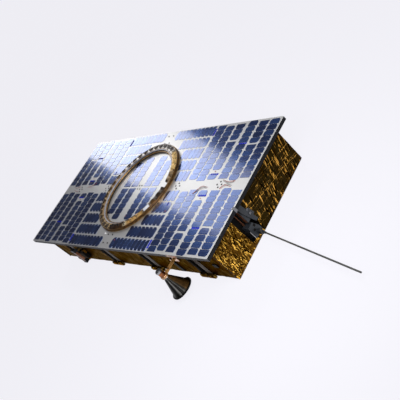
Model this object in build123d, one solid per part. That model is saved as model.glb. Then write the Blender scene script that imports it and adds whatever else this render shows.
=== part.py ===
from build123d import *
import math
import os

os.makedirs("parts", exist_ok=True)

# A small box-shaped satellite, millimetres.
# It lies on its flat back panel. +Z points out of the solar face, +X runs along the
# long side towards the whip antenna, and the horn antenna hangs off the -Y side.
# The origin is the centre of the back panel's outer face.

# Box
body_length = 2040.0
body_width = 844.0
back_thickness = 15.0
box_height = 285.0
blanket_thickness = 8.0
blanket_gap = 0.3
blanket_margin = 3.0

# Solar panel that closes the box and overhangs it on every side
array_end_overhang = 60.0
array_side_overhang = 58.0
array_core_thickness = 24.0
array_skin_thickness = 1.0
array_corner_radius = 4.0

# Cable channels up the long sides
channel_width = 66.0
channel_depth = 42.0
channel_shift = -26.0
channel_inner_place = 245.0
channel_outer_place = 760.0
channel_rail_width = 18.0
channel_rail_depth = 30.0

# Wrapped lifting tabs at the back edge, beside each channel
tab_width = 125.0
tab_reach = 18.0
tab_height = 34.0
tab_offset = 26.0
tab_nose = 6.0
tab_notch_width = 12.0
tab_notch_depth = 7.0

# Channel in the short side that carries the whip antenna
end_channel_width = 113.0
end_channel_middle = -148.5
end_channel_depth = 38.0

# Solar cells
cell_length = 79.0
cell_width = 41.0
cell_thickness = 1.2
cell_chamfer = 12.0
column_cell_gap = 1.8
row_cell_gap = 1.2
column_edge_margin = 12.3
row_column_gap = 24.2
centre_strip_width = 48.0
row_inner_end = 50.0
ring_string_end = 7.0
ring_spine_width = 77.0
ring_column_gap = 16.0
ring_cell_gap = 5.0
ring_cell_inner_gap = 1.0

# Separation ring: a turned body on a narrow foot, a polished lip inside it,
# and on top a bolted plate with a row of tapered teeth
ring_outer_radius = 358.0
ring_width = 65.0
ring_foot_inner_inset = 12.0
ring_foot_outer_inset = 22.0
ring_foot_height = 3.0
ring_body_height = 19.0
ring_flange_height = 5.0
ring_waist_depth = 8.0
ring_waist_height = 5.0
ring_band_depth = 4.0
ring_ledge_height = 12.0
lip_thickness = 6.0
lip_height = 8.0
lip_gap = 0.3
crown_tip_inset = 8.0
crown_width = 40.7
crown_plate_thickness = 2.5
bolt_inset = 6.7
bolt_count = 12
bolt_hole_radius = 3.2
tooth_count = 38
tooth_depth = 28.0
tooth_base_width = 38.0
tooth_top_depth = 7.0
tooth_top_width = 22.0
tooth_height = 9.5
ring_notch_width = 56.0
ring_notch_depth = 50.0
latch_tooth = 34
latch_width = 46.0
latch_depth = 20.0
latch_height = 5.0
latch_step_depth = 9.0
latch_step_height = 3.0

# Horn antenna
horn_place_x = 599.0
horn_reach = 123.0
horn_throat_height = 168.0
horn_tilt = 9.2
horn_throat_radius = 17.0
horn_mouth_radius = 75.0
horn_length = 132.0
horn_wall = 3.0
horn_shoulder_radius = 61.0
horn_flare_height = 22.0
horn_rim_width = 5.0
horn_rim_height = 8.0
horn_collar_radius = 23.0
horn_collar_height = 16.0
horn_feed_radius = 19.0
horn_feed_height = 30.0
horn_cap_radius = 21.0
horn_cap_height = 16.0
horn_cap_chamfer = 4.0
horn_arm_width = 24.0
horn_arm_thickness = 8.0
horn_foot_width = 44.0
horn_foot_height = 60.0
horn_foot_thickness = 6.0

# Whip antenna
whip_length = 795.0
whip_radius = 4.8
whip_angle = -14.0
whip_height = 48.0
whip_pivot_y = -134.0
whip_pivot_reach = 32.0
knuckle_radius = 11.0
knuckle_height = 15.0
ear_gap = 0.5
ear_thickness = 6.0
pin_radius = 4.0
pin_clearance = 0.05
pin_head_radius = 7.0
pin_head_height = 3.0
socket_length = 33.0
socket_wall = 2.0
hinge_box_left = 36.0
hinge_box_right = 31.0
hinge_box_height = 86.0
hinge_box_proud = 4.0
hinge_corner_width = 22.0
hinge_corner_height = 56.0

# Leaning bar, tube and clip in the end channel
cradle_root_width = 33.0
cradle_root_inset = 12.0
cradle_root_gap = 15.0
cradle_proud = 10.0
tube_radius = 4.5
tube_shift = -15.0
clip_width = 18.0
clip_shift = -31.0
clip_thickness = 3.0
clip_cell_gap = 2.3

# Sensor on the -Y side
sensor_place_x = -665.0
sensor_width = 42.0
sensor_depth = 44.0
sensor_low = 28.0
sensor_height = 150.0
sensor_wall = 6.0
sensor_plate_thickness = 5.0
sensor_plate_gap = 2.0
sensor_tray_depth = 26.0
sensor_head_wall = 18.0
sensor_post_radius = 7.0
sensor_post_inset = 30.0
drive_gap = 10.0
drive_width = 46.0
drive_height = 84.0
drive_depth = 26.0
drive_lift = 30.0
drive_chamfer = 8.0

# Derived places
array_length = body_length + 2 * array_end_overhang
array_width = body_width + 2 * array_side_overhang
array_low = box_height
array_core_top = array_low + array_core_thickness
face = array_core_top + array_skin_thickness
half_length = body_length / 2
half_width = body_width / 2
core_half_length = half_length - blanket_thickness - blanket_gap
core_half_width = half_width - blanket_thickness - blanket_gap
ring_low = face
ring_foot_top = ring_low + ring_foot_height
ring_body_top = ring_foot_top + ring_body_height
crown_plate_top = ring_body_top + crown_plate_thickness
ring_inner_radius = ring_outer_radius - ring_width
ring_foot_radius = ring_outer_radius - ring_foot_outer_inset
ring_foot_inner_radius = ring_inner_radius + ring_foot_inner_inset
crown_tip_radius = ring_outer_radius - crown_tip_inset
crown_inner_radius = crown_tip_radius - crown_width
tooth_root_radius = crown_tip_radius - tooth_depth
bolt_circle_radius = crown_inner_radius + bolt_inset
notch_outer_radius = ring_inner_radius + ring_notch_depth
channel_places = [
    channel_shift - channel_outer_place,
    channel_shift - channel_inner_place,
    channel_shift + channel_inner_place,
    channel_shift + channel_outer_place,
]


def block(x0, x1, y0, y1, z0, z1):
    """A box between two corners."""
    size = (x1 - x0, y1 - y0, z1 - z0)
    return Pos((x0 + x1) / 2, (y0 + y1) / 2, (z0 + z1) / 2) * Box(*size)


def tube(outer, inner, low, high):
    """A plain ring about Z."""
    height = high - low
    wall = Cylinder(outer, height) - Cylinder(inner, height * 2)
    return Pos(0, 0, (low + high) / 2) * wall


def turned(points):
    """A solid turned about Z from a closed outline of radius and height."""
    outline = Polyline(*[(r, 0, z) for r, z in points], close=True)
    return revolve(make_face(outline), Axis.Z, 360)


def save(name, shapes):
    """Write one node, made of one solid or of solids that do not touch."""
    solids = []
    for shape in shapes:
        solids.extend(shape.solids())
    result = solids[0] if len(solids) == 1 else Compound(children=solids)
    export_step(result, f"parts/{name}.step")


# Box structure
def back_panel():
    return [block(-core_half_length, core_half_length, -core_half_width, core_half_width,
                  0, back_thickness)]


def box_core():
    core = block(-core_half_length, core_half_length, -core_half_width, core_half_width,
                 back_thickness, box_height)
    for side in (-1, 1):
        edge = side * core_half_width
        for place in channel_places:
            low = edge - channel_depth
            high = edge + channel_depth
            core -= block(place - channel_width / 2, place + channel_width / 2, low, high,
                          0, box_height * 2)
    core -= block(core_half_length - end_channel_depth, core_half_length + end_channel_depth,
                  end_channel_middle - end_channel_width / 2,
                  end_channel_middle + end_channel_width / 2, 0, box_height * 2)
    return [core]


def side_blankets(side):
    """Five foil blankets along one long side, parted by the channels."""
    edges = [-half_length + blanket_thickness + blanket_gap]
    for place in channel_places:
        edges.append(place - channel_width / 2)
        edges.append(place + channel_width / 2)
    edges.append(half_length - blanket_thickness - blanket_gap)
    inner = side * (half_width - blanket_thickness)
    outer = side * half_width
    blankets = []
    for left, right in zip(edges[0::2], edges[1::2]):
        blankets.append(block(left, right, min(inner, outer), max(inner, outer),
                              blanket_margin, box_height - blanket_margin))
    return blankets


def end_blanket(side, y0, y1):
    inner = side * (half_length - blanket_thickness)
    outer = side * half_length
    return [block(min(inner, outer), max(inner, outer), y0, y1,
                  blanket_margin, box_height - blanket_margin)]


def channel_rails(side):
    """A light strip that stands in each channel against its +X wall."""
    rails = []
    floor = core_half_width - channel_depth
    for place in channel_places:
        right = place + channel_width / 2
        y0 = side * floor
        y1 = side * (floor + channel_rail_depth)
        rails.append(block(right - channel_rail_width, right, min(y0, y1), max(y0, y1),
                           back_thickness, box_height))
    return rails


def lifting_tabs(side):
    """Blunt wrapped feet with two lobes that stand out of the side at the back edge."""
    tabs = []
    for place in channel_places:
        middle = place + tab_offset
        root = side * (half_width + blanket_gap)
        tip = side * (half_width + tab_reach)
        dent = tip - side * tab_notch_depth
        tab = block(middle - tab_width / 2, middle + tab_width / 2, min(root, tip),
                    max(root, tip), blanket_margin, tab_height)
        nose = [edge for edge in tab.edges().filter_by(Axis.X)
                if abs(edge.center().Y - tip) < tab_nose]
        tab = chamfer(nose, tab_nose)
        tab -= block(middle - tab_notch_width / 2, middle + tab_notch_width / 2,
                     min(dent, tip), max(dent, tip), 0, tab_height * 2)
        tabs.append(tab)
    return tabs


# Solar panel
def array_core():
    plate = block(-array_length / 2, array_length / 2, -array_width / 2, array_width / 2,
                  array_low, array_core_top)
    return [fillet(plate.edges().filter_by(Axis.Z), array_corner_radius)]


def array_skin():
    plate = block(-array_length / 2, array_length / 2, -array_width / 2, array_width / 2,
                  array_core_top, face)
    return [fillet(plate.edges().filter_by(Axis.Z), array_corner_radius)]


def cell(x, y, along_x, chamfer_side):
    """One cell lying on the face; two corners of one long side are cut."""
    half_long = cell_length / 2
    half_short = cell_width / 2
    cut = cell_chamfer
    points = [(-half_long, -half_short), (half_long, -half_short),
              (half_long, half_short - cut), (half_long - cut, half_short),
              (-half_long + cut, half_short), (-half_long, half_short - cut)]
    placed = []
    for u, v in points:
        v = v * chamfer_side
        placed.append((x + u, y + v) if along_x else (x + v, y + u))
    outline = make_face(Polyline(*placed, close=True))
    return extrude(Plane.XY.offset(face) * outline, cell_thickness, dir=(0, 0, 1))


# Outer columns, from the panel's short edge inwards.
# Columns: gap to the column outboard of it, margin to the long edge,
# cells in each run, spaces after the runs, side of the cut corners
outer_columns = [
    (0.0, 12.0, (10,), (), 1),
    (12.4, 16.0, (4, 6), (12.0,), -1),
    (18.7, 4.0, (4, 6), (10.0,), 1),
    (28.3, 17.4, (3, 5, 1), (14.0, 30.0), -1),
    (15.9, 21.4, (10,), (), 1),
    (8.2, 9.4, (10,), (), -1),
]

# Rows between the columns and the ring, from the panel's long edge inwards.
# Columns: gap to the long edge or the row outboard, side of the cut corners
middle_rows = [
    (5.5, -1),
    (11.0, 1),
    (10.5, -1),
    (13.5, 1),
    (9.0, -1),
]


def nearest_corner(x, y, half_x, half_y):
    """How far a cell's nearest point lies from the ring's middle."""
    return math.hypot(max(x - half_x, 0), max(y - half_y, 0))


def outer_cells(sx, sy):
    cells = []
    half_x = cell_length / 2
    half_y = cell_width / 2
    x = array_length / 2 - column_edge_margin - half_x
    for index, (gap, margin, runs, spaces, cut) in enumerate(outer_columns):
        if index:
            x -= cell_length + gap
        y = array_width / 2 - margin - half_y
        for run, count in enumerate(runs):
            for number in range(count):
                room = nearest_corner(x, y, half_x, half_y) - ring_foot_radius
                if y - half_y > centre_strip_width / 2 and room > ring_cell_gap:
                    cells.append(cell(sx * x, sy * y, True, cut * sy))
                y -= cell_width + column_cell_gap
            if run < len(spaces):
                y -= spaces[run] - column_cell_gap
    return cells


columns_width = len(outer_columns) * cell_length + sum(row[0] for row in outer_columns)
row_outer_end = array_length / 2 - column_edge_margin - columns_width - row_column_gap


def middle_cells(sx, sy):
    cells = []
    half_x = cell_width / 2
    half_y = cell_length / 2
    y = array_width / 2 + half_y
    for gap, cut in middle_rows:
        y -= cell_length + gap
        if y - half_y < centre_strip_width / 2:
            continue
        x = row_outer_end - half_x
        while (x - half_x > row_inner_end
               and nearest_corner(x, y, half_x, half_y) > ring_foot_radius + ring_cell_gap):
            cells.append(cell(sx * x, sy * y, False, cut * sx))
            x -= cell_width + row_cell_gap
    return cells


def ring_cells():
    cells = []
    half_x = cell_length / 2
    half_y = cell_width / 2
    reach = ring_foot_inner_radius - ring_cell_inner_gap
    for x in (ring_spine_width / 2 + half_x,
              ring_spine_width / 2 + ring_column_gap + cell_length + half_x):
        y = ring_string_end + half_y
        while math.hypot(x + half_x, y + half_y) < reach:
            for sx in (-1, 1):
                for sy in (-1, 1):
                    cells.append(cell(sx * x, sy * y, True, sy))
            y += cell_width + row_cell_gap
    return cells


# Separation ring
def notch(low, high, reach):
    """The gap in the ring's inner part, on the +X side."""
    return block(ring_inner_radius - ring_width, reach, -ring_notch_width / 2,
                 ring_notch_width / 2, low, high)


def ring_foot():
    foot = tube(ring_foot_radius, ring_foot_inner_radius, ring_low, ring_foot_top)
    return [foot - notch(ring_low - 1, ring_foot_top + 1, notch_outer_radius)]


def ring_body():
    flange_top = ring_foot_top + ring_flange_height
    waist_top = flange_top + ring_waist_height
    waist = ring_outer_radius - ring_waist_depth
    band = ring_outer_radius - ring_band_depth
    ledge = ring_foot_top + ring_ledge_height
    body = turned([
        (ring_inner_radius, ring_foot_top),
        (ring_outer_radius, ring_foot_top),
        (ring_outer_radius, flange_top),
        (waist, flange_top),
        (waist, waist_top),
        (band, waist_top),
        (band, ring_body_top),
        (crown_inner_radius, ring_body_top),
        (crown_inner_radius, ledge),
        (ring_inner_radius, ledge),
    ])
    return [body - notch(ring_foot_top - 1, ring_body_top + 1, notch_outer_radius)]


def ring_lip():
    low = ring_foot_top + ring_ledge_height
    outer = crown_inner_radius - lip_gap
    lip = tube(outer, outer - lip_thickness, low, low + lip_height)
    return [lip - notch(low - 1, low + lip_height + 1, notch_outer_radius)]


def tooth():
    """A tapered tooth, upright on its inner side and sloped on its outer one."""
    base = Pos(crown_tip_radius - tooth_depth / 2, 0, crown_plate_top)
    top = Pos(tooth_root_radius + tooth_top_depth / 2, 0, crown_plate_top + tooth_height)
    return loft([base * Rectangle(tooth_depth, tooth_base_width),
                 top * Rectangle(tooth_top_depth, tooth_top_width)])


def ring_crown():
    """The plate that the bolts go through, and its teeth; the latch has one's place."""
    plate = Circle(crown_tip_radius) - Circle(crown_inner_radius)
    for number in range(bolt_count):
        turn = Rot(0, 0, (number + 0.5) * 360 / bolt_count)
        plate -= turn * Pos(bolt_circle_radius, 0) * Circle(bolt_hole_radius)
    crown = extrude(Plane.XY.offset(ring_body_top) * plate, crown_plate_thickness)
    teeth = [Rot(0, 0, (number + 0.5) * 360 / tooth_count) * tooth()
             for number in range(tooth_count) if number != latch_tooth]
    crown += teeth
    crown -= notch(ring_body_top - 1, crown_plate_top, notch_outer_radius)
    return [crown - notch(crown_plate_top, crown_plate_top + tooth_height * 2,
                          ring_outer_radius)]


def ring_latch():
    """A stepped catch plate that takes one tooth's place."""
    middle = crown_tip_radius - tooth_depth / 2
    low = crown_plate_top
    catch = block(middle - latch_depth / 2, middle + latch_depth / 2,
                  -latch_width / 2, latch_width / 2, low, low + latch_height)
    inner = middle - latch_depth / 2
    catch += block(inner, inner + latch_step_depth, -latch_width / 2, latch_width / 2,
                   low, low + latch_height + latch_step_height)
    return [Rot(0, 0, (latch_tooth + 0.5) * 360 / tooth_count) * catch]


# Horn antenna, built about its own axis with its mouth down
horn_frame = Location((horn_place_x, -half_width - horn_reach, horn_throat_height),
                      (0, -horn_tilt, 0))


def horn_bell():
    """A cone that opens faster near its mouth and ends in a square bead."""
    bead = horn_mouth_radius - horn_rim_width
    shoulder = -horn_length + horn_flare_height
    bell = turned([
        (horn_throat_radius - horn_wall, 0),
        (horn_throat_radius, 0),
        (horn_shoulder_radius, shoulder),
        (bead, -horn_length + horn_rim_height),
        (horn_mouth_radius, -horn_length + horn_rim_height),
        (horn_mouth_radius, -horn_length),
        (bead - horn_wall, -horn_length),
        (horn_shoulder_radius - horn_wall, shoulder),
    ])
    return [horn_frame * bell]


def horn_collar():
    collar = tube(horn_collar_radius, horn_throat_radius - horn_wall, 0, horn_collar_height)
    return [horn_frame * collar]


def horn_feed():
    low = horn_collar_height
    feed = Pos(0, 0, low + horn_feed_height / 2) * Cylinder(horn_feed_radius, horn_feed_height)
    return [horn_frame * feed]


def horn_cap():
    low = horn_collar_height + horn_feed_height
    cap = Pos(0, 0, low + horn_cap_height / 2) * Cylinder(horn_cap_radius, horn_cap_height)
    top = cap.edges().sort_by(Axis.Z)[-1:]
    return [horn_frame * chamfer(top, horn_cap_chamfer)]


def horn_arm():
    """A flat arm from the foot plate to the collar, square to the side."""
    tip = -half_width - horn_reach + horn_collar_radius
    root = -half_width - blanket_gap - horn_foot_thickness
    middle = horn_throat_height + horn_collar_height / 2
    arm = block(horn_place_x - horn_arm_width / 2, horn_place_x + horn_arm_width / 2,
                tip - horn_collar_radius / 2, root,
                middle - horn_arm_thickness / 2, middle + horn_arm_thickness / 2)
    collar = horn_frame * (Pos(0, 0, horn_collar_height / 2)
                           * Cylinder(horn_collar_radius, horn_collar_height * 3))
    return [arm - collar]


def horn_foot():
    middle = horn_throat_height + horn_collar_height / 2
    return [block(horn_place_x - horn_foot_width / 2, horn_place_x + horn_foot_width / 2,
                  -half_width - blanket_gap - horn_foot_thickness, -half_width - blanket_gap,
                  middle - horn_foot_height / 2, middle + horn_foot_height / 2)]


# Whip antenna and its hinge
pivot_x = half_length + whip_pivot_reach
ear_low = whip_height - knuckle_height / 2 - ear_gap - ear_thickness
ear_high = whip_height + knuckle_height / 2 + ear_gap + ear_thickness


def across(points, inner, outer):
    """A plate square to X, from an outline of Y and Z."""
    outline = make_face(Polyline(*points, close=True))
    return extrude(Plane.YZ.offset(inner) * outline, outer - inner)


def hinge_box():
    """A block bolted in the channel, one corner cut, with two ears that hold the pin."""
    inner = core_half_length - end_channel_depth
    outer = half_length + hinge_box_proud
    low = ear_low
    high = low + hinge_box_height
    left = whip_pivot_y - hinge_box_left
    right = whip_pivot_y + hinge_box_right
    box = across([(left, low), (right, low), (right, high - hinge_corner_height),
                  (right - hinge_corner_width, high), (left, high)], inner, outer)
    for base in (ear_low, ear_high - ear_thickness):
        ear = block(outer, pivot_x, whip_pivot_y - knuckle_radius,
                    whip_pivot_y + knuckle_radius, base, base + ear_thickness)
        nose = Pos(pivot_x, whip_pivot_y, base + ear_thickness / 2)
        ear += nose * Cylinder(knuckle_radius, ear_thickness)
        box += ear
    bore = Pos(pivot_x, whip_pivot_y, whip_height)
    box -= bore * Cylinder(pin_radius + pin_clearance, (ear_high - ear_low) * 2)
    return [box]


def hinge_pin():
    shank = Pos(pivot_x, whip_pivot_y, (ear_low + ear_high) / 2)
    pin = shank * Cylinder(pin_radius, ear_high - ear_low)
    head = Pos(pivot_x, whip_pivot_y, ear_high + pin_head_height / 2)
    return [pin + head * Cylinder(pin_head_radius, pin_head_height)]


def whip_knuckle():
    """The rod's root: a barrel on the pin and a socket for the rod."""
    socket = Pos(socket_length / 2, 0, 0) * Rot(0, 90, 0) * Cylinder(
        whip_radius + socket_wall, socket_length)
    knuckle = Cylinder(knuckle_radius, knuckle_height) + socket
    knuckle -= Cylinder(pin_radius + pin_clearance, knuckle_height * 2)
    return [Pos(pivot_x, whip_pivot_y, whip_height) * Rot(0, 0, whip_angle) * knuckle]


def whip_rod():
    length = whip_length - socket_length
    rod = Pos(socket_length + length / 2, 0, 0) * Rot(0, 90, 0) * Cylinder(whip_radius, length)
    return [Pos(pivot_x, whip_pivot_y, whip_height) * Rot(0, 0, whip_angle) * rod]


# The leaning bar's head, hung from the solar panel.
# Columns: distance past the channel's +Y edge, depth below the solar panel
cradle_head = [
    (-38.0, 80.0),
    (-47.0, 0.0),
    (-12.0, 0.0),
    (-1.0, 87.0),
    (16.0, 95.0),
]

# The leaning bar's foot, beside the hinge box.
# Columns: distance past the channel's +Y edge, height above the hinge box's top
cradle_foot = [
    (23.0, 23.0),
    (8.0, 20.0),
    (14.0, -20.0),
    (-8.0, -19.0),
]


def cradle_bar():
    """A leaning bar across the channel's edge, with a side tab and a root in the channel."""
    inner = core_half_length - end_channel_depth
    seat = half_length + blanket_gap
    edge = end_channel_middle + end_channel_width / 2
    hinge_top = ear_low + hinge_box_height
    head = [(edge + past, box_height - depth) for past, depth in cradle_head]
    foot = [(edge + past, hinge_top + height) for past, height in cradle_foot]
    bar = across(head + foot, seat, seat + cradle_proud)
    right = edge - cradle_root_inset
    bar += block(inner, seat, right - cradle_root_width, right,
                 hinge_top + cradle_root_gap, box_height)
    return [bar]


def channel_tube():
    inner = core_half_length - end_channel_depth
    low = ear_low + hinge_box_height
    pipe = Cylinder(tube_radius, box_height - low)
    return [Pos(inner + tube_radius, whip_pivot_y + tube_shift, (low + box_height) / 2) * pipe]


def edge_clip():
    """A thin clip that wraps the solar panel's edge."""
    edge = array_length / 2
    clip_reach = column_edge_margin - clip_cell_gap
    y0 = whip_pivot_y + clip_shift - clip_width / 2
    y1 = y0 + clip_width
    wrap = block(edge - clip_reach, edge + clip_thickness, y0, y1,
                 array_low - clip_thickness, face + clip_thickness)
    wrap -= block(edge - clip_reach * 2, edge, y0 - 1, y1 + 1, array_low, face)
    return [wrap]


# Sensor
def sensor_frame():
    """A shallow open tray facing away from the box, on two posts."""
    outer = -half_width - sensor_depth
    back = outer + sensor_tray_depth
    x0 = sensor_place_x - sensor_width / 2
    x1 = sensor_place_x + sensor_width / 2
    high = sensor_low + sensor_height
    tray = block(x0, x1, outer, back, sensor_low, high)
    tray -= block(x0 + sensor_wall, x1 - sensor_wall, outer - 1, back - sensor_wall,
                  sensor_low + sensor_wall, high - sensor_head_wall)
    for z in (sensor_low + sensor_post_inset, high - sensor_post_inset):
        length = -half_width - blanket_gap - back
        post = Pos(sensor_place_x, back + length / 2, z) * Rot(90, 0, 0)
        tray += post * Cylinder(sensor_post_radius, length)
    return [tray]


def sensor_plate():
    floor = -half_width - sensor_depth + sensor_tray_depth - sensor_wall
    side = sensor_width / 2 - sensor_wall - sensor_plate_gap
    return [block(sensor_place_x - side, sensor_place_x + side,
                  floor - sensor_plate_thickness, floor,
                  sensor_low + sensor_wall + sensor_plate_gap,
                  sensor_low + sensor_height - sensor_head_wall - sensor_plate_gap)]


def sensor_side_box():
    """The drive block beside the tray."""
    x0 = sensor_place_x + sensor_width / 2 + drive_gap
    z0 = sensor_low + drive_lift
    drive = block(x0, x0 + drive_width, -half_width - blanket_gap - drive_depth,
                  -half_width - blanket_gap, z0, z0 + drive_height)
    return [chamfer(drive.edges().filter_by(Axis.X).sort_by(Axis.Y)[:2], drive_chamfer)]


edge_low = end_channel_middle - end_channel_width / 2
edge_high = end_channel_middle + end_channel_width / 2

nodes = {
    "back_panel": back_panel(),
    "box_core": box_core(),
    "blankets_front": side_blankets(-1),
    "blankets_rear": side_blankets(1),
    "blanket_end_lower": end_blanket(1, -half_width, edge_low),
    "blanket_end_upper": end_blanket(1, edge_high, half_width),
    "blanket_far_end": end_blanket(-1, -half_width, half_width),
    "channel_rails_front": channel_rails(-1),
    "channel_rails_rear": channel_rails(1),
    "lifting_tabs_front": lifting_tabs(-1),
    "lifting_tabs_rear": lifting_tabs(1),
    "array_core": array_core(),
    "array_skin": array_skin(),
    "ring_cells": ring_cells(),
    "ring_foot": ring_foot(),
    "ring_body": ring_body(),
    "ring_crown": ring_crown(),
    "ring_lip": ring_lip(),
    "ring_latch": ring_latch(),
    "horn_bell": horn_bell(),
    "horn_collar": horn_collar(),
    "horn_feed": horn_feed(),
    "horn_cap": horn_cap(),
    "horn_arm": horn_arm(),
    "horn_foot": horn_foot(),
    "hinge_box": hinge_box(),
    "hinge_pin": hinge_pin(),
    "whip_knuckle": whip_knuckle(),
    "whip_rod": whip_rod(),
    "cradle_bar": cradle_bar(),
    "channel_tube": channel_tube(),
    "edge_clip": edge_clip(),
    "sensor_frame": sensor_frame(),
    "sensor_plate": sensor_plate(),
    "sensor_side_box": sensor_side_box(),
}

for sx, x_word in ((-1, "left"), (1, "right")):
    for sy, y_word in ((-1, "near"), (1, "far")):
        nodes[f"outer_cells_{x_word}_{y_word}"] = outer_cells(sx, sy)
        nodes[f"middle_cells_{x_word}_{y_word}"] = middle_cells(sx, sy)

for name, shapes in nodes.items():
    save(name, shapes)
print(len(nodes), "nodes")
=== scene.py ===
import math
import random

import bmesh
import bpy
import numpy as np
from mathutils import Matrix, Vector, noise


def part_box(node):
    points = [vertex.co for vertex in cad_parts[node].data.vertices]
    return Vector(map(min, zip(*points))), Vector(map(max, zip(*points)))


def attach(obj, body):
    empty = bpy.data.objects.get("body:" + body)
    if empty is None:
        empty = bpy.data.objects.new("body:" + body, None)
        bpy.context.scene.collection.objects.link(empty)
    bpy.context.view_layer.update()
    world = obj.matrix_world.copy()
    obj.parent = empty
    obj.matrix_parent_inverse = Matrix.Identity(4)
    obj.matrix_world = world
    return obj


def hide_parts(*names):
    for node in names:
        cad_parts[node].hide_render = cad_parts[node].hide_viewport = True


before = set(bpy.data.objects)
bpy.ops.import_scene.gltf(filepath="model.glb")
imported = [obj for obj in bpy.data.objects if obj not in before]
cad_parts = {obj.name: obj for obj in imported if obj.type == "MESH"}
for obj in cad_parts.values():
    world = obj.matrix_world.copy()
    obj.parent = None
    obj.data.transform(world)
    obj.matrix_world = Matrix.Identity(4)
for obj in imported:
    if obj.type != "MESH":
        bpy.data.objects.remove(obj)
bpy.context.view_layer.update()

MM = 0.001
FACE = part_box("array_skin")[1].z
CELL_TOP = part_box("ring_cells")[1].z
BOX_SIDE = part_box("blankets_front")[0].y
BOX_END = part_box("blanket_end_upper")[1].x

# The horn's axis starts at its throat and leans from upright
HORN_THROAT = Vector((0.599, BOX_SIDE - 0.123, 0.168))
HORN_LEAN = math.radians(-9.2)

# How far a degree reaches along the ring, in metres
RING_ARC = 0.0058


# Trees of nodes, written as sums and products
class Value:
    """A socket that can stand in a sum, a product or a power."""

    def __init__(self, tree, socket):
        self.tree = tree
        self.socket = socket

    def maths(self, operation, first, second=0.0):
        return self.tree.add("ShaderNodeMath", {"operation": operation}, {0: first, 1: second})

    def __add__(self, other):
        return self.maths("ADD", self, other)

    def __radd__(self, other):
        return self.maths("ADD", other, self)

    def __sub__(self, other):
        return self.maths("SUBTRACT", self, other)

    def __rsub__(self, other):
        return self.maths("SUBTRACT", other, self)

    def __mul__(self, other):
        return self.maths("MULTIPLY", self, other)

    def __rmul__(self, other):
        return self.maths("MULTIPLY", other, self)

    def __truediv__(self, other):
        return self.maths("DIVIDE", self, other)

    def __rtruediv__(self, other):
        return self.maths("DIVIDE", other, self)

    def __pow__(self, other):
        return self.maths("POWER", self, other)

    def __mod__(self, other):
        return self.maths("FLOORED_MODULO", self, other)

    def __abs__(self):
        return self.maths("ABSOLUTE", self)


class Tree:
    """A node tree under construction."""

    def __init__(self, tree):
        self.tree = tree

    def add(self, kind, settings=None, values=None, output=0):
        """A node with its settings made first, then the values or links of its sockets."""
        node = self.tree.nodes.new(kind)
        for name, value in (settings or {}).items():
            if name == "stops":
                while len(node.color_ramp.elements) < len(value):
                    node.color_ramp.elements.new(0.5)
                for element, (place, colour) in zip(node.color_ramp.elements, value):
                    element.position = place
                    element.color = colour
            else:
                setattr(node, name, value)
        for name, value in (values or {}).items():
            if isinstance(value, Value):
                self.tree.links.new(value.socket, node.inputs[name])
            else:
                node.inputs[name].default_value = value
        return Value(self, node.outputs[output] if len(node.outputs) else None)


def tone(red, green, blue):
    """A colour in the units of a shader, from the usual 0 to 255."""
    parts = [part / 255 for part in (red, green, blue)]
    return tuple(p / 12.92 if p <= 0.04045 else ((p + 0.055) / 1.055) ** 2.4
                 for p in parts) + (1.0,)


class Finish(Tree):
    """A material under construction, with the patterns that the finishes share."""

    def __init__(self, name):
        self.material = bpy.data.materials.new(name)
        self.material.use_nodes = True
        super().__init__(self.material.node_tree)
        self.tree.nodes.clear()

    def spot(self, place=(0, 0, 0), turn=(0, 0, 0), scale=(1, 1, 1)):
        """Where on the object, in metres, with the pattern moved, turned or stretched."""
        here = self.add("ShaderNodeTexCoord", output=3)
        return self.add("ShaderNodeMapping", {"vector_type": "TEXTURE"}, {
            "Vector": here, "Location": place, "Rotation": turn, "Scale": scale})

    def axis(self, vector, letter):
        """One of a vector's three numbers."""
        return self.add("ShaderNodeSeparateXYZ", values={0: vector}, output="XYZ".index(letter))

    def cloud(self, vector, size, detail=3.0, roughness=0.55, distortion=0.0):
        """Soft patches of about that size in metres, from 0 to 1."""
        return self.add("ShaderNodeTexNoise", {"normalize": True}, {
            "Vector": vector, "Scale": 1 / size, "Detail": detail,
            "Roughness": roughness, "Distortion": distortion})

    def ramp(self, value, *stops):
        """The colour at that value, between stops of a place and a colour."""
        return self.add("ShaderNodeValToRGB", {"stops": stops}, {0: value})

    def step(self, value, low, high):
        """0 below low, 1 above high and smooth between them."""
        return self.add("ShaderNodeMapRange", {"interpolation_type": "SMOOTHSTEP"}, {
            "Value": value, "From Min": low, "From Max": high})

    def mix(self, share, first, second):
        """The first colour at a share of 0, the second at 1."""
        return self.add("ShaderNodeMix", {"data_type": "RGBA"},
                        {0: share, 6: first, 7: second}, output=2)

    def bump(self, height, depth, strength):
        """A normal that leans as if the surface rose by that depth in metres."""
        return self.add("ShaderNodeBump", values={
            "Height": height, "Distance": depth, "Strength": strength})

    def done(self, **sockets):
        """Closes the tree: each name is a socket of the shader, with underscores for spaces."""
        values = {name.replace("_", " "): value for name, value in sockets.items()}
        surface = self.add("ShaderNodeBsdfPrincipled", values=values)
        self.add("ShaderNodeOutputMaterial", values={"Surface": surface})
        return self.material


# Finishes
def white_paint():
    """Glossy white paint on the panel's face, a little mottled and scuffed."""
    f = Finish("white_paint")
    here = f.spot()
    patches = f.cloud(here, 0.16, 5.0)
    specks = f.cloud(here, 0.004, 2.0)
    colour = f.ramp(patches, (0.3, tone(168, 166, 162)), (0.7, tone(180, 180, 178)))
    colour = f.mix(f.step(specks, 0.66, 0.78) * 0.2, colour, tone(150, 146, 138))
    ripples = f.cloud(here, 0.007, 2.0)
    return f.done(Base_Color=colour, Roughness=0.4 + patches * 0.08, IOR=2.8,
                  Coat_Weight=1.0, Coat_Roughness=0.36, Coat_IOR=4.2,
                  Normal=f.bump(ripples, 0.00025, strength=0.4))


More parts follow.
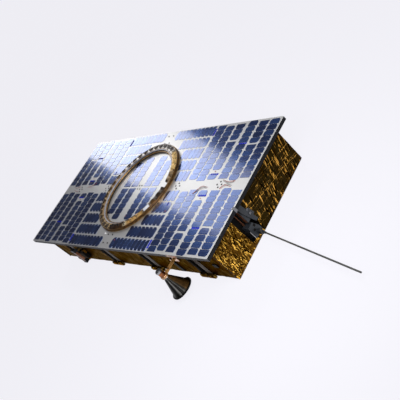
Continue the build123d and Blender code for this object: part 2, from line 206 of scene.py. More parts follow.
def cell_glass():
    """Blue silicon under cover glass, with fine collector lines and two bus bars."""
    half_length, half_width = 39.5, 20.5
    line_pitch, bar_place = 2.4, 10.0
    f = Finish("cell_glass")
    place = f.add("ShaderNodeUVMap", {"uv_map": "cell_mm"})
    across = f.axis(place, "X")
    along = f.axis(place, "Y")
    own = f.add("ShaderNodeAttribute", {"attribute_name": "own_tint"}, output=2)
    here = f.spot()
    patches = f.cloud(here, 0.05, 3.0)
    silicon = f.ramp(own * 0.45 + patches * 0.55,
                     (0.2, tone(24, 54, 118)), (0.5, tone(30, 70, 140)), (0.8, tone(44, 88, 160)))
    line = f.step(abs(across % line_pitch - line_pitch / 2), 0.16, 0.05)
    bar = f.step(abs(abs(along) - bar_place), 0.75, 0.55)
    inside = (f.step(half_width - abs(along), 0.0, 0.9)
              * f.step(half_length - abs(across), 0.0, 0.9))
    colour = f.mix(line * 0.25, silicon, tone(110, 128, 170))
    colour = f.mix(bar * 0.4, colour, tone(140, 154, 186))
    colour = f.mix((1 - inside) * 0.6, colour, tone(96, 112, 150))
    return f.done(Base_Color=colour, Metallic=0.9, Roughness=0.22 + own * 0.04,
                  Coat_Weight=1.0, Coat_Roughness=0.1, Coat_IOR=1.5)


def foil(name, crest_highlight, ground, hollow, size, stretch, lean, gain, shine, cross=0.0,
         least=0.2, curl=0.8, tint=tone(196, 168, 112)):
    """Crushed metal film: folds down the blanket, each with a painted highlight on one side and
    painted shade behind.

    Size is a fold's width in metres, stretch its length in widths and lean its tilt in
    degrees. The folds are as deep as least where the film lies calm and by gain deeper
    where it is crushed, and cross is how clearly long thin creases run over them.
    """
    fold_low, fold_high = 0.53, 0.69
    crease_size, crease_stretch, crease_width = 0.034, 18, 0.012
    patch_size = 0.085
    shadow_low, shadow_high = 0.17, 0.27
    f = Finish(name)
    turn = tuple(math.radians(a) for a in lean)
    painted_fold_light = 0
    folds = []
    for scale, share in ((1.0, 1.0), (0.5, 0.6)):
        width = size * scale
        here = f.spot(turn=turn, scale=(1, 1, stretch))
        back = f.spot(place=(width * 0.22, width * 0.3, 0), turn=turn, scale=(1, 1, stretch))
        fold = f.step(f.cloud(here, width, 2.0, 0.55, curl), fold_low, fold_high)
        behind = f.step(f.cloud(back, width, 2.0, 0.55, curl), fold_low, fold_high)
        painted_fold_light = painted_fold_light + (fold - behind) * share
        folds.append(fold)
    across = f.spot(turn=tuple(-4 * a for a in turn), scale=(1, 1, crease_stretch))
    crease = f.step(abs(f.cloud(across, crease_size, 1.0, 0.5) - 0.5), crease_width, 0.0)
    crushed = f.step(f.cloud(f.spot(), patch_size, 3.0), 0.38, 0.62)
    painted_fold_light = painted_fold_light * (least + crushed * gain) + crease * cross
    # Painted light and shade: a fold's lit side takes the lit ground and crest tones, and the
    # side behind it takes the hollow tone
    lit_ground = tuple(2.2 * part for part in ground[:3]) + (1,)
    colour = f.ramp(painted_fold_light * 0.5 + 0.5, (0.3, hollow), (0.5, ground), (0.64, lit_ground),
                    (0.78, crest_highlight))
    # Painted shadow: the film darkens towards the hollow tone near its top, under the panel's
    # overhang
    painted_shadow_under_panel = f.step(f.axis(f.spot(), "Z"), shadow_low, shadow_high)
    colour = f.mix(painted_shadow_under_panel * 0.55, colour, hollow)
    normal = f.bump(folds[0] + folds[1] * 0.4, size * 0.16, strength=0.8)
    return f.done(Base_Color=colour, Metallic=1.0, Roughness=shine + (1 - crushed) * 0.12,
                  Specular_Tint=tint, Normal=normal)


def satin(name, colour, dark, roughness, metallic, size, shine):
    """Metal or paint with patches of that size in metres, fine scratches and a rubbed look."""
    f = Finish(name)
    here = f.spot()
    patches = f.cloud(here, size, 5.0, 0.65)
    scratches = f.cloud(f.spot(scale=(1, 12, 1), turn=(0.3, 0.2, 0.5)), 0.002, 2.0)
    mixed = f.mix(f.step(patches, 0.25, 0.75), dark, colour)
    rough = roughness - 0.08 + patches * 0.12 + f.step(scratches, 0.6, 0.75) * 0.08
    return f.done(Base_Color=mixed, Metallic=metallic, Roughness=rough,
                  Specular_IOR_Level=shine, Normal=f.bump(scratches, 0.00012, strength=0.35))


def polar(f, here):
    """Angle about Z from -180 to 180 degrees, distance from Z and height, as sockets."""
    x = f.axis(here, "X")
    y = f.axis(here, "Y")
    angle = f.add("ShaderNodeMath", {"operation": "ARCTAN2"}, {0: y, 1: x})
    return angle * (180 / math.pi), (x * x + y * y) ** 0.5, f.axis(here, "Z")


def around_stops(rows):
    """Stops of a ramp around a full turn, from rows of an angle in degrees and a colour."""
    return [((angle + 180) / 360, colour) for angle, colour in rows]


def ring_top():
    """Conversion coat on the crown: each sector of plates has its own gold or brown, with painted
    reflection on the pale far plates and painted shade on the teeth's slopes.
    """
    inner_rim = 0.3114
    seam_inside, seam_outside = 0.3216, 0.3312
    tooth_foot = 0.3352
    half_edge = 0.0004
    f = Finish("ring_top")
    here = f.spot()
    angle, away, height = polar(f, here)
    around = f.add("ShaderNodeCombineXYZ", values={0: angle * RING_ARC, 1: away, 2: height})
    patches = f.cloud(around, 0.011, 4.0, 0.65)
    wide = f.cloud(here, 0.05, 3.0)
    # Columns: angle in degrees where the plate ends, its tone. The near-white tones from about 56
    # to 150 degrees are a painted reflection of glare on the far plates
    plates = [(-178, (196, 166, 122)), (-93, (216, 186, 140)), (-91, (54, 36, 18)),
              (-69, (86, 58, 28)), (-66, (255, 240, 204)), (-63, (255, 226, 168)),
              (-61, (240, 190, 116)), (-41, (240, 192, 118)), (-38, (84, 62, 36)),
              (-22, (150, 110, 60)), (-20, (66, 50, 32)), (-4, (80, 62, 40)),
              (3, (170, 142, 102)), (19, (160, 130, 88)), (21, (240, 198, 124)),
              (50, (250, 212, 140)), (56, (246, 242, 236)), (150, (236, 232, 228)),
              (178, (180, 142, 92))]
    turn = (angle + 180) / 360
    colour = f.ramp(turn, *around_stops([(place, tone(*plate)) for place, plate in plates]))
    worn = f.mix(f.step(patches, 0.48, 0.34) * (0.4 + wide * 0.6), colour, tone(44, 30, 16))
    # Columns: angle in degrees, how much painted shade darkens the teeth against their plate, and
    # how clearly a dark seam shows along the plate's inner edge
    tooth_shade_and_seams = [(-178, 0.9, 0.0), (-96, 0.9, 0.0), (-90, 0.5, 0.9), (-66, 0.1, 1.0),
                 (-40, 0.1, 1.0), (-20, 0.7, 0.8), (10, 0.5, 0.2), (22, 0.1, 0.0),
                 (46, 0.15, 0.0), (58, 0.92, 0.0), (178, 0.9, 0.0)]
    teeth = [(place, (tooth,) * 3 + (1,)) for place, tooth, seam in tooth_shade_and_seams]
    seams = [(place, (seam,) * 3 + (1,)) for place, tooth, seam in tooth_shade_and_seams]
    painted_slope_shade = (f.step(height, tooth_foot - half_edge, tooth_foot + half_edge)
             * f.ramp(turn, *around_stops(teeth)))
    colour = f.mix(painted_slope_shade, worn, tone(40, 25, 12))
    seam = (f.step(away, seam_inside - half_edge, seam_inside + half_edge)
            * f.step(away, seam_outside + half_edge, seam_outside - half_edge)
            * f.ramp(turn, *around_stops(seams)))
    colour = f.mix(seam, colour, tone(14, 10, 8))
    rim = f.step(away, inner_rim + half_edge, inner_rim - half_edge)
    colour = f.mix(rim, colour, tone(172, 128, 78))
    return f.done(Base_Color=colour, Metallic=0.4, Roughness=0.34 + patches * 0.16,
                  Normal=f.bump(patches, 0.0006, strength=0.4))


def ring_side():
    """The ring's body: tan flanges, a dark groove and a gold band on both walls, with the inner
    wall painted near black below its gold band as shade.
    """
    between_walls, half_edge = 0.325, 0.005
    ramp_reach = 25 * MM
    f = Finish("ring_side")
    here = f.spot()
    angle, away, height = polar(f, here)
    around = f.add("ShaderNodeCombineXYZ", values={0: angle * RING_ARC, 1: 0.0,
                                                   2: height * 3})
    streaks = f.cloud(around, 0.02, 4.0, 0.6)
    above = (height - FACE) / ramp_reach
    outer = f.step(away, between_walls - half_edge, between_walls + half_edge)
    # Painted shade: the inner wall is near black below its gold band
    inner_wall_painted_shade = f.ramp(above, (0.34, tone(14, 12, 10)), (0.41, tone(206, 160, 98)),
                        (0.58, tone(206, 160, 98)), (0.62, tone(24, 24, 28)))
    outer_wall = f.ramp(above, (0.12, tone(176, 134, 80)), (0.31, tone(190, 146, 90)),
                        (0.33, tone(26, 20, 14)), (0.51, tone(30, 22, 14)),
                        (0.53, tone(150, 108, 58)), (0.88, tone(118, 84, 44)))
    colour = f.mix(outer, inner_wall_painted_shade, outer_wall)
    colour = f.mix(f.step(streaks, 0.56, 0.40) * 0.7, colour, tone(44, 30, 16))
    return f.done(Base_Color=colour, Metallic=0.6, Roughness=0.3 + streaks * 0.15,
                  Normal=f.bump(streaks, 0.0004, strength=0.4))


def ring_polish():
    """The bright lip, its colour round the ring a painted reflection: silver on one side, warm
    grey and steel-blue round the rest, with a painted highlight along its top edge.
    """
    edge_height, edge_radius = CELL_TOP + 0.0155, 0.3065
    half_edge = 0.001
    f = Finish("ring_polish")
    here = f.spot()
    angle, away, height = polar(f, here)
    around = f.add("ShaderNodeCombineXYZ", values={0: angle * RING_ARC, 1: 0.0, 2: height})
    streaks = f.cloud(around, 0.03, 4.0, 0.6)
    # Painted reflection: the lip's tone changes round the ring as it mirrors bright or dark
    # surroundings
    side = f.ramp((angle + 180) / 360, (0.02, tone(246, 248, 252)), (0.2, tone(250, 250, 252)),
                  (0.3, tone(120, 112, 100)), (0.5, tone(110, 104, 96)),
                  (0.7, tone(38, 42, 52)), (0.9, tone(70, 78, 94)), (0.98, tone(176, 186, 206)))
    # Painted highlight along the lip's rounded top edge
    edge = (f.step(height, edge_height - half_edge, edge_height + half_edge)
            * f.step(away, edge_radius + half_edge, edge_radius - half_edge))
    colour = f.mix(edge * 0.6, side, tone(176, 184, 200))
    return f.done(Base_Color=colour, Metallic=0.2, Roughness=0.16 + streaks * 0.14,
                  Normal=f.bump(streaks, 0.0003, strength=0.3))


def spun_metal():
    """Dark spun metal with light streaks of painted reflection that run down the horn, and brown
    on one side.
    """
    mouth_rim = -0.121
    f = Finish("spun_metal")
    here = f.spot(place=HORN_THROAT, turn=(0, HORN_LEAN, 0))
    angle, away, height = polar(f, here)
    around = f.add("ShaderNodeCombineXYZ", values={0: angle * 0.0174})
    streaks = f.cloud(around, 0.26, 1.0, 0.5)
    patches = f.cloud(f.spot(), 0.03, 3.0)
    # Columns: angle in degrees, tone; the light tones are painted reflections that run down the
    # horn
    painted_reflection_bands = [(-178, 20, 20, 20), (-160, 90, 89, 87), (-148, 16, 16, 16), (-126, 70, 69, 67),
             (-108, 22, 22, 22), (-88, 72, 71, 69), (-78, 30, 30, 30), (-64, 8, 8, 8),
             (-54, 40, 40, 39), (-43, 176, 174, 168), (-37, 14, 14, 14), (-31, 52, 51, 49),
             (-26, 12, 12, 12), (-20, 62, 61, 59), (-13, 22, 21, 19), (-7, 30, 25, 18),
             (0, 66, 47, 24), (16, 104, 75, 40), (34, 130, 94, 50), (48, 46, 34, 20),
             (66, 30, 24, 16), (90, 84, 82, 78), (106, 14, 14, 14),
             (128, 96, 95, 92), (150, 24, 24, 24), (176, 60, 59, 57)]
    stops = around_stops([(row[0], tone(*row[1:])) for row in painted_reflection_bands])
    colour = f.ramp((angle + 180) / 360, *stops)
    worn = f.step(streaks * 0.7 + patches * 0.3, 0.52, 0.40)
    colour = f.mix(worn * 0.5, colour, tone(6, 6, 6))
    rim = f.step(height, mouth_rim, mouth_rim - 0.003)
    colour = f.mix(rim, colour, tone(20, 19, 19))
    return f.done(Base_Color=colour, Metallic=0.85, Roughness=0.36 + patches * 0.14,
                  Specular_IOR_Level=0.2, Normal=f.bump(patches, 0.0002, strength=0.3))


def panel_rim():
    """Sealed edge of the solar panel: grey along the long sides, charcoal at the ends."""
    f = Finish("panel_rim")
    here = f.spot()
    grain = f.cloud(here, 0.02, 4.0)
    facing = f.axis(f.add("ShaderNodeNewGeometry", output=1), "Y")
    long_side = f.step(abs(facing), 0.4, 0.6)
    top = f.step(f.axis(here, "Z"), FACE - 0.005, FACE - 0.004)
    end = f.mix(top, tone(24, 25, 30), tone(6, 6, 7))
    colour = f.mix(long_side, end, tone(98, 98, 101))
    colour = f.mix(f.step(grain, 0.4, 0.7) * 0.3, colour, tone(16, 16, 18))
    return f.done(Base_Color=colour, Roughness=0.55 + grain * 0.1, Specular_IOR_Level=0.15,
                  Normal=f.bump(grain, 0.0002, strength=0.3))


finishes = {
    "white_paint": white_paint(),
    "panel_rim": panel_rim(),
    "cell_glass": cell_glass(),
    # Each foil's three tones are its painted highlight on the folds, its ground, kept dark as a
    # painted reflection of dark surroundings, and its painted shade
    "foil_dense": foil("foil_dense", tone(255, 200, 86), tone(86, 58, 17), tone(13, 8, 2),
                       size=0.018, stretch=2.8, lean=(-6, 0, 0), gain=1.5, shine=0.2,
                       least=0.85, curl=1.1),
    "foil_long": foil("foil_long", tone(246, 184, 84), tone(44, 34, 15), tone(11, 8, 3),
                      size=0.018, stretch=6.0, lean=(-20, 0, 0), gain=0.78, shine=0.25,
                      cross=0.46, least=0.25),
    "foil_calm": foil("foil_calm", tone(74, 58, 36), tone(32, 27, 17), tone(17, 14, 9),
                      size=0.045, stretch=5.0, lean=(0, 24, 0), gain=0.7, shine=0.34,
                      cross=0.15, tint=tone(206, 184, 146)),
    # The edge foil is the same film painted brighter, as if lit where it faces +X
    "foil_edge": foil("foil_edge", tone(236, 158, 56), tone(120, 80, 28), tone(34, 20, 6),
                      size=0.009, stretch=1.4, lean=(0, 0, 0), gain=1.2, shine=0.26),
    "foil_tab": foil("foil_tab", tone(190, 146, 66), tone(92, 72, 34), tone(26, 18, 8),
                     size=0.022, stretch=3.0, lean=(0, 10, 0), gain=1.6, shine=0.3),
    "ring_top": ring_top(),
    "ring_side": ring_side(),
    "ring_polish": ring_polish(),
    "spun_metal": spun_metal(),
}

# Columns: name, tone, tone of its darker patches, roughness, metallic, size of the patches in
# metres, shine
satins = [
    ("ring_foot", (96, 72, 40), (40, 28, 14), 0.35, 1.0, 0.03, 0.5),
    ("mirror", (250, 251, 253), (236, 240, 246), 0.14, 0.1, 0.03, 0.5),
    ("grey_rail", (96, 82, 68), (62, 53, 44), 0.5, 0.2, 0.03, 0.15),
    ("black_coat", (16, 13, 11), (8, 6, 5), 0.6, 0.0, 0.03, 0.1),
    ("back_sheet", (84, 84, 88), (66, 66, 70), 0.45, 1.0, 0.12, 0.5),
    ("slate", (54, 58, 63), (36, 39, 43), 0.45, 0.3, 0.03, 0.5),
    ("light_grey", (178, 178, 178), (146, 146, 146), 0.35, 1.0, 0.03, 0.5),
    ("copper", (176, 112, 70), (112, 68, 42), 0.34, 1.0, 0.03, 0.5),
    ("pink_copper", (176, 118, 86), (120, 76, 50), 0.4, 0.5, 0.03, 0.5),
    ("gold_strip", (214, 162, 98), (168, 122, 68), 0.4, 0.2, 0.03, 0.5),
    ("clip_grey", (124, 124, 128), (96, 96, 100), 0.45, 0.5, 0.03, 0.5),
    ("rose_metal", (236, 206, 184), (196, 156, 132), 0.28, 1.0, 0.03, 0.5),
    ("dark_copper", (128, 78, 48), (70, 40, 24), 0.45, 0.5, 0.03, 0.5),
    ("rod_grey", (98, 98, 95), (78, 78, 76), 0.45, 0.4, 0.03, 0.5),
    ("screw_dark", (44, 40, 38), (26, 24, 22), 0.35, 1.0, 0.004, 0.5),
    ("screw_brown", (62, 42, 24), (34, 22, 12), 0.35, 1.0, 0.004, 0.5),
    ("screw_bright", (190, 188, 184), (150, 148, 144), 0.28, 1.0, 0.004, 0.5),
    ("plug_white", (252, 252, 252), (244, 244, 244), 0.4, 0.0, 0.004, 0.5),
    ("diode_blue", (26, 42, 192), (20, 32, 156), 0.7, 0.0, 0.006, 0.0),
    ("wire_red", (176, 58, 44), (140, 40, 32), 0.4, 0.0, 0.01, 0.5),
    ("wire_grey", (150, 146, 142), (110, 106, 102), 0.4, 0.0, 0.01, 0.5),
]
for name, colour, dark, *numbers in satins:
    finishes[name] = satin(name, tone(*colour), tone(*dark), *numbers)

# The finish of each CAD node that shows as it is
node_finishes = {
    "array_core": "panel_rim", "array_skin": "white_paint", "box_core": "black_coat",
    "back_panel": "back_sheet", "lifting_tabs_front": "foil_tab",
    "lifting_tabs_rear": "foil_tab", "channel_rails_front": "grey_rail",
    "channel_rails_rear": "grey_rail", "ring_foot": "ring_foot", "ring_body": "ring_side",
    "ring_crown": "ring_top", "ring_lip": "ring_polish", "ring_latch": "mirror",
    "horn_bell": "spun_metal", "horn_collar": "gold_strip", "horn_feed": "copper",
    "horn_cap": "light_grey", "horn_foot": "rose_metal", "horn_arm": "gold_strip",
    "hinge_box": "slate", "hinge_pin": "rod_grey", "cradle_bar": "slate",
    "channel_tube": "dark_copper", "edge_clip": "clip_grey", "sensor_frame": "slate",
    "sensor_plate": "pink_copper", "sensor_side_box": "black_coat",
    "whip_knuckle": "slate", "whip_rod": "rod_grey",
}
for node, finish in node_finishes.items():
    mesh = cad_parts[node].data
    mesh.materials.clear()
    mesh.materials.append(finishes[finish])


# Making pieces
def settle(name, mesh):
    """Puts a finished mesh in the scene, on the box's body."""
    piece = bpy.data.objects.new(name, mesh)
    bpy.context.scene.collection.objects.link(piece)
    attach(piece, "root")
    return piece


def make_piece(name, vertices, faces, finish, smooth=True):
    """A piece from its points in metres and its faces."""
    mesh = bpy.data.meshes.new(name)
    mesh.from_pydata([tuple(vertex) for vertex in vertices], [], faces)
    mesh.validate()
    if smooth:
        mesh.shade_smooth()
    else:
        mesh.shade_flat()
    mesh.materials.append(finishes[finish])
    return settle(name, mesh)


def islands(node):
    """The corner points of each separate solid in a CAD node."""
    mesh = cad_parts[node].data
    points = np.array([v.co for v in mesh.vertices])
    names = {}
    label = [names.setdefault(tuple(np.round(p, 5)), len(names)) for p in points]
    parent = list(range(len(names)))

    def root(i):
        while parent[i] != i:
            parent[i] = parent[parent[i]]
            i = parent[i]
        return i

    for polygon in mesh.polygons:
        first, *rest = [root(label[i]) for i in polygon.vertices]
        for other in rest:
            parent[root(other)] = root(first)
    groups = {}
    for corner, number in names.items():
        groups.setdefault(root(number), []).append(corner)
    solids = [np.array(group) for group in groups.values()]
    return sorted(solids, key=lambda s: (round(s[:, 0].min(), 3), round(s[:, 1].min(), 3)))


# Solar cells, each with its own tint and a bevelled cover glass
def longer_cuts(outline, share):
    """The outline with each slanted side moved inwards, so that it grows by that share."""
    count = len(outline)
    moved = outline.copy()
    for i in range(count):
        first = outline[i][:2]
        second = outline[(i + 1) % count][:2]
        slant = second - first
        if min(abs(slant)) > 1e-4:
            before = outline[i - 1][:2] - first
            after = outline[(i + 2) % count][:2] - second
            grow = (share - 1) * min(abs(slant))
            moved[i][:2] = first + before / np.linalg.norm(before) * grow
            moved[(i + 1) % count][:2] = second + after / np.linalg.norm(after) * grow
    return moved


def lay_cells(node):
    """The cover glasses of one string of cells, in place of its CAD node."""
    cut_share = 1.22 if "middle" in node else 1.0
    side_drop, bevel, sway = 0.3 * MM, 0.4 * MM, 0.06 * MM
    half_cell = 40 * MM
    dice = random.Random(node)
    vertices, faces, places, tints = [], [], [], []
    for solid in islands(node):
        low = solid.min(0)
        high = solid.max(0)
        middle = (low + high) / 2
        top = solid[solid[:, 2] > high[2] - 1e-5]
        order = np.argsort(np.arctan2(top[:, 1] - middle[1], top[:, 0] - middle[0]))
        outline = longer_cuts(top[order], cut_share)
        long_x = high[0] - low[0] > high[1] - low[1]
        tilt = [dice.uniform(-1, 1) * sway for _ in range(2)]
        tint = dice.random()
        start = len(vertices)
        count = len(outline)
        for inset, drop, sways in ((0.0, high[2] - low[2], 0), (0.0, side_drop, 1),
                                   (bevel, 0.0, 1)):
            for point in outline:
                flat = point[:2] - middle[:2]
                flat = flat * (1 - inset / np.abs(flat).max())
                lean = (flat[0] * tilt[0] + flat[1] * tilt[1]) / half_cell
                vertices.append((middle[0] + flat[0], middle[1] + flat[1],
                                 high[2] - drop + lean * sways))
                u, v = flat / MM if long_x else (flat[1] / MM, flat[0] / MM)
                places.append((u, v))
        for ring in (0, 1):
            for i in range(count):
                a = start + ring * count + i
                b = start + ring * count + (i + 1) % count
                faces.append((a, b, b + count, a + count))
        faces.append(tuple(start + 2 * count + i for i in range(count)))
        tints += [tint] * (len(faces) - len(tints))
    piece = make_piece(node + "_glass", vertices, faces, "cell_glass", smooth=False)
    uv = piece.data.uv_layers.new(name="cell_mm")
    loops = np.zeros(len(piece.data.loops), np.int32)
    piece.data.loops.foreach_get("vertex_index", loops)
    uv.data.foreach_set("uv", np.array(places, np.float32)[loops].ravel())
    own = piece.data.attributes.new("own_tint", "FLOAT", "FACE")
    own.data.foreach_set("value", np.array(tints, np.float32))
    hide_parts(node)


for node in sorted(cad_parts):
    if "cells" in node:
        lay_cells(node)


# Foil blankets. The seed fixes how their folds wander, so that each run lays them alike
fold_seed = 182
noise.seed_set(fold_seed)


def crumple(u, v, folds, seed):
    """How far a point of a blanket stands out, in mm, from a table of folds."""
    seed_step, fold_step = 7.3, 3.1
    wander_size, wander = 0.7, 0.45
    sharpness = 2.2
    out = 0.0
    for number, (width, length, lean, depth) in enumerate(folds):
        turn = math.radians(lean)
        a = (u * math.cos(turn) + v * math.sin(turn)) / width
        b = (v * math.cos(turn) - u * math.sin(turn)) / length
        # Each blanket, and each fold on it, has a layer of the noise to itself
        spot = Vector((a, b, seed * seed_step + number * fold_step))
        spot += noise.noise_vector(spot * wander_size) * wander
        out += depth * (0.5 - min(1.0, abs(noise.noise(spot)) * sharpness))
    return out


# Columns of each fold: width and length in mm, lean in degrees, depth in mm
fold_tables = {
    "foil_dense": [(34, 58, 12, 4.2), (17, 30, -18, 2.6), (9, 14, 25, 1.2)],
    "foil_long": [(60, 210, 28, 4.0), (46, 120, -22, 2.8), (22, 44, 10, 1.5), (11, 20, 0, 0.6)],
    "foil_calm": [(120, 260, 35, 2.6), (70, 130, -30, 1.5), (30, 60, 8, 0.7)],
}


def lay_blanket(name, solid, outward, finish, seed, pitch):
    """One blanket over a module of the box, its rim turned in to the structure."""
    sunk, rim_sunk, under_rim = 2.0, 1.5, 0.4
    dice = random.Random(name)
    low = Vector(solid.min(0))
    high = Vector(solid.max(0))
    across = Vector((outward[1], -outward[0], 0))
    span = high - low
    width = abs(span.dot(across))
    height = span.z
    thick = abs(span.dot(Vector(outward)))
    centre = (low + high) / 2
    face = centre + Vector(outward) * thick / 2
    columns = max(8, round(width / pitch))
    rows = max(8, round(height / pitch))
    vertices, faces = [], []
    folds = fold_tables[finish]
    for j in range(rows + 1):
        for i in range(columns + 1):
            u = (i / columns - 0.5) * width
            v = (j / rows - 0.5) * height
            rim = min(i, columns - i, j, rows - j)
            out = crumple(u / MM, v / MM, folds, seed) - sunk
            if rim == 0:
                out = under_rim - thick / MM
            elif rim == 1:
                out = min(out, -rim_sunk)
            point = face + across * u + Vector((0, 0, v)) + Vector(outward) * out * MM
            vertices.append(point)
    for j in range(rows):
        for i in range(columns):
            a = j * (columns + 1) + i
            faces.append((a, a + 1, a + columns + 2, a + columns + 1))
    if across.cross(Vector((0, 0, 1))).dot(Vector(outward)) < 0:
        faces = [face[::-1] for face in faces]
    piece = make_piece(name, vertices, faces, finish)
    if abs(outward[1]) > 0:
        # The hem along the edge that looks to +X is dark and ragged, with bright specks of edge
        # foil that is painted brighter, as if lit from +X
        piece.data.materials.append(finishes["black_coat"])
        piece.data.materials.append(finishes["foil_edge"])
        ragged = [dice.uniform(9.0, 17.0) * MM for _ in range(rows)]
        speck = [dice.random() < 0.3 for _ in range(rows)]
        for face in piece.data.polygons:
            row = min(rows - 1, int((face.center.z - low.z) / height * rows))
            inside = high.x - face.center.x
            if inside < ragged[row]:
                face.material_index = 1
            elif speck[row] and inside < ragged[row] + 6 * MM:
                face.material_index = 2
    return piece


# Columns: node, direction it looks in, finish, distance between its points in mm
blankets = [
    ("blankets_front", (0, -1, 0), "foil_calm", 5.0),
    ("blankets_rear", (0, 1, 0), "foil_calm", 5.0),
    ("blanket_end_upper", (1, 0, 0), "foil_long", 3.5),
    ("blanket_end_lower", (1, 0, 0), "foil_dense", 3.0),
    ("blanket_far_end", (-1, 0, 0), "foil_long", 4.5),
]

# A low sill of foil across the channel at the +X end
channel_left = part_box("blanket_end_lower")[1].y
channel_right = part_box("blanket_end_upper")[0].y
sill_gap = 1 * MM
sill_low, sill_high = 3 * MM, 31 * MM
sill_back, sill_front = BOX_END - 10 * MM, BOX_END - 3 * MM
sill_seed = 40
sill = np.array([(sill_back, channel_left + sill_gap, sill_low),
                 (sill_front, channel_right - sill_gap, sill_high)])
lay_blanket("channel_sill", sill, (1, 0, 0), "foil_dense", sill_seed, 3.0 * MM)

seed = 1
for node, outward, finish, pitch in blankets:
    solids = islands(node)
    for number, solid in enumerate(solids):
        name = node if len(solids) == 1 else f"{node}_{number + 1}"
        piece = lay_blanket(name + "_foil", solid, outward, finish, seed, pitch * MM)
        if number == 0:
            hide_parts(node)
        seed += 1


# Small solids set on points by Geometry Nodes
def grower(name):
    """A tree that sets one tapered head, with a disc in its top that stands for a recess, on each
    point.
    """
    group = bpy.data.node_groups.new(name, "GeometryNodeTree")
    group.interface.new_socket("Heads", in_out="OUTPUT", socket_type="NodeSocketGeometry")
    for label, kind in (("Points", "Geometry"), ("Sides", "Int"), ("Radius", "Float"),
                        ("Taper", "Float"), ("Height", "Float"), ("Flange", "Float"),
                        ("Recess", "Float"), ("Surface", "Material"), ("Dark", "Material")):
        group.interface.new_socket(label, in_out="INPUT", socket_type="NodeSocket" + kind)
    g = Tree(group)
    start = group.nodes.new("NodeGroupInput")
    given = {socket.name: Value(g, socket) for socket in start.outputs if socket.name}
    radius = given["Radius"]
    height = given["Height"]
    flange_share = 0.22
    recess_share = 1.02
    head = g.add("GeometryNodeMeshCone", values={
        "Vertices": given["Sides"], "Radius Top": radius * given["Taper"],
        "Radius Bottom": radius, "Depth": height})
    flange = g.add("GeometryNodeMeshCone", values={
        "Vertices": given["Sides"], "Radius Top": radius * given["Flange"],
        "Radius Bottom": radius * given["Flange"], "Depth": height * flange_share})
    solid = g.add("GeometryNodeJoinGeometry", values={0: head})
    group.links.new(flange.socket, solid.socket.node.inputs[0])
    solid = g.add("GeometryNodeSetMaterial",
                  values={"Geometry": solid, "Material": given["Surface"]})
    # The recess is a flat disc of the Dark finish, not a hole; on the screws, whose Dark finish
    # is black, it is painted shade
    hollow = g.add("GeometryNodeMeshCone", values={
        "Vertices": 6, "Radius Top": radius * given["Recess"],
        "Radius Bottom": radius * given["Recess"], "Depth": height * recess_share})
    hollow = g.add("GeometryNodeSetMaterial",
                   values={"Geometry": hollow, "Material": given["Dark"]})
    whole = g.add("GeometryNodeJoinGeometry", values={0: solid})
    group.links.new(hollow.socket, whole.socket.node.inputs[0])
    aim = g.add("GeometryNodeInputNamedAttribute", {"data_type": "FLOAT_VECTOR"},
                {"Name": "aim"})
    size = g.add("GeometryNodeInputNamedAttribute", {"data_type": "FLOAT_VECTOR"},
                 {"Name": "size"})
    turn = g.add("FunctionNodeEulerToRotation", values={"Euler": aim})
    heads = g.add("GeometryNodeInstanceOnPoints", values={
        "Points": given["Points"], "Instance": whole, "Rotation": turn, "Scale": size})
    real = g.add("GeometryNodeRealizeInstances", values={"Geometry": heads})
    g.add("NodeGroupOutput", values={"Heads": real})
    return group


heads = grower("heads_on_points")


def grow(name, spots, inputs, surface, dark, slot):
    """One mesh of many heads.

    Each spot is a place in mm, a direction with a turn about it in degrees, and a size.
    """
    mesh = bpy.data.meshes.new(name)
    mesh.from_pydata([tuple(c * MM for c in place) for place, _, _ in spots], [], [])
    aims = mesh.attributes.new("aim", "FLOAT_VECTOR", "POINT")
    sizes = mesh.attributes.new("size", "FLOAT_VECTOR", "POINT")
    for number, (place, direction, size) in enumerate(spots):
        turn = Vector(direction[:3]).to_track_quat("Z", "X")
        turn = turn @ Matrix.Rotation(math.radians(direction[3]), 3, "Z").to_quaternion()
        aims.data[number].vector = turn.to_euler()
        sizes.data[number].vector = size
    maker = bpy.data.objects.new(name, mesh)
    bpy.context.scene.collection.objects.link(maker)
    modifier = maker.modifiers.new("heads", "NODES")
    modifier.node_group = heads
    values = dict(inputs, Surface=finishes[surface], Dark=finishes[dark])
    for item in heads.interface.items_tree:
        if item.name in values:
            modifier[item.identifier] = values[item.name]
    evaluated = maker.evaluated_get(bpy.context.evaluated_depsgraph_get())
    grown = bpy.data.meshes.new_from_object(evaluated)
    grown.name = name
    grown.shade_flat()
    bpy.data.objects.remove(maker)
    settle(name, grown)


UP = (0, 0, 1, 0)
ONE = (1, 1, 1)
screw = {"Sides": 10, "Radius": 4.6 * MM, "Taper": 0.82, "Height": 2.4 * MM, "Flange": 1.3,
         "Recess": 0.42}
face = FACE / MM

# Screws on the solar face, in groups of two and four
spots = [((sx * 14, sy * 13.5, face), UP, ONE) for sx in (-1, 1) for sy in (-1, 1)]
spots += [((sx * 27, sy * y, face), UP, ONE)
          for sx in (-1, 1) for sy in (-1, 1) for y in (377, 441)]
for middle in (-842, -436, 436, 842):
    for x, y in ((0, -20), (0, 20), (-20, 0), (20, 0)):
        spots.append(((middle + x, y, face), UP, ONE))
grow("face_screws", spots, screw, "screw_dark", "black_coat", "dark_bracket")
grow("pale_plug", [((-73, -371, face), UP, ONE)], dict(screw, Radius=7.0 * MM, Recess=0.1),
     "plug_white", "plug_white", "white_face")

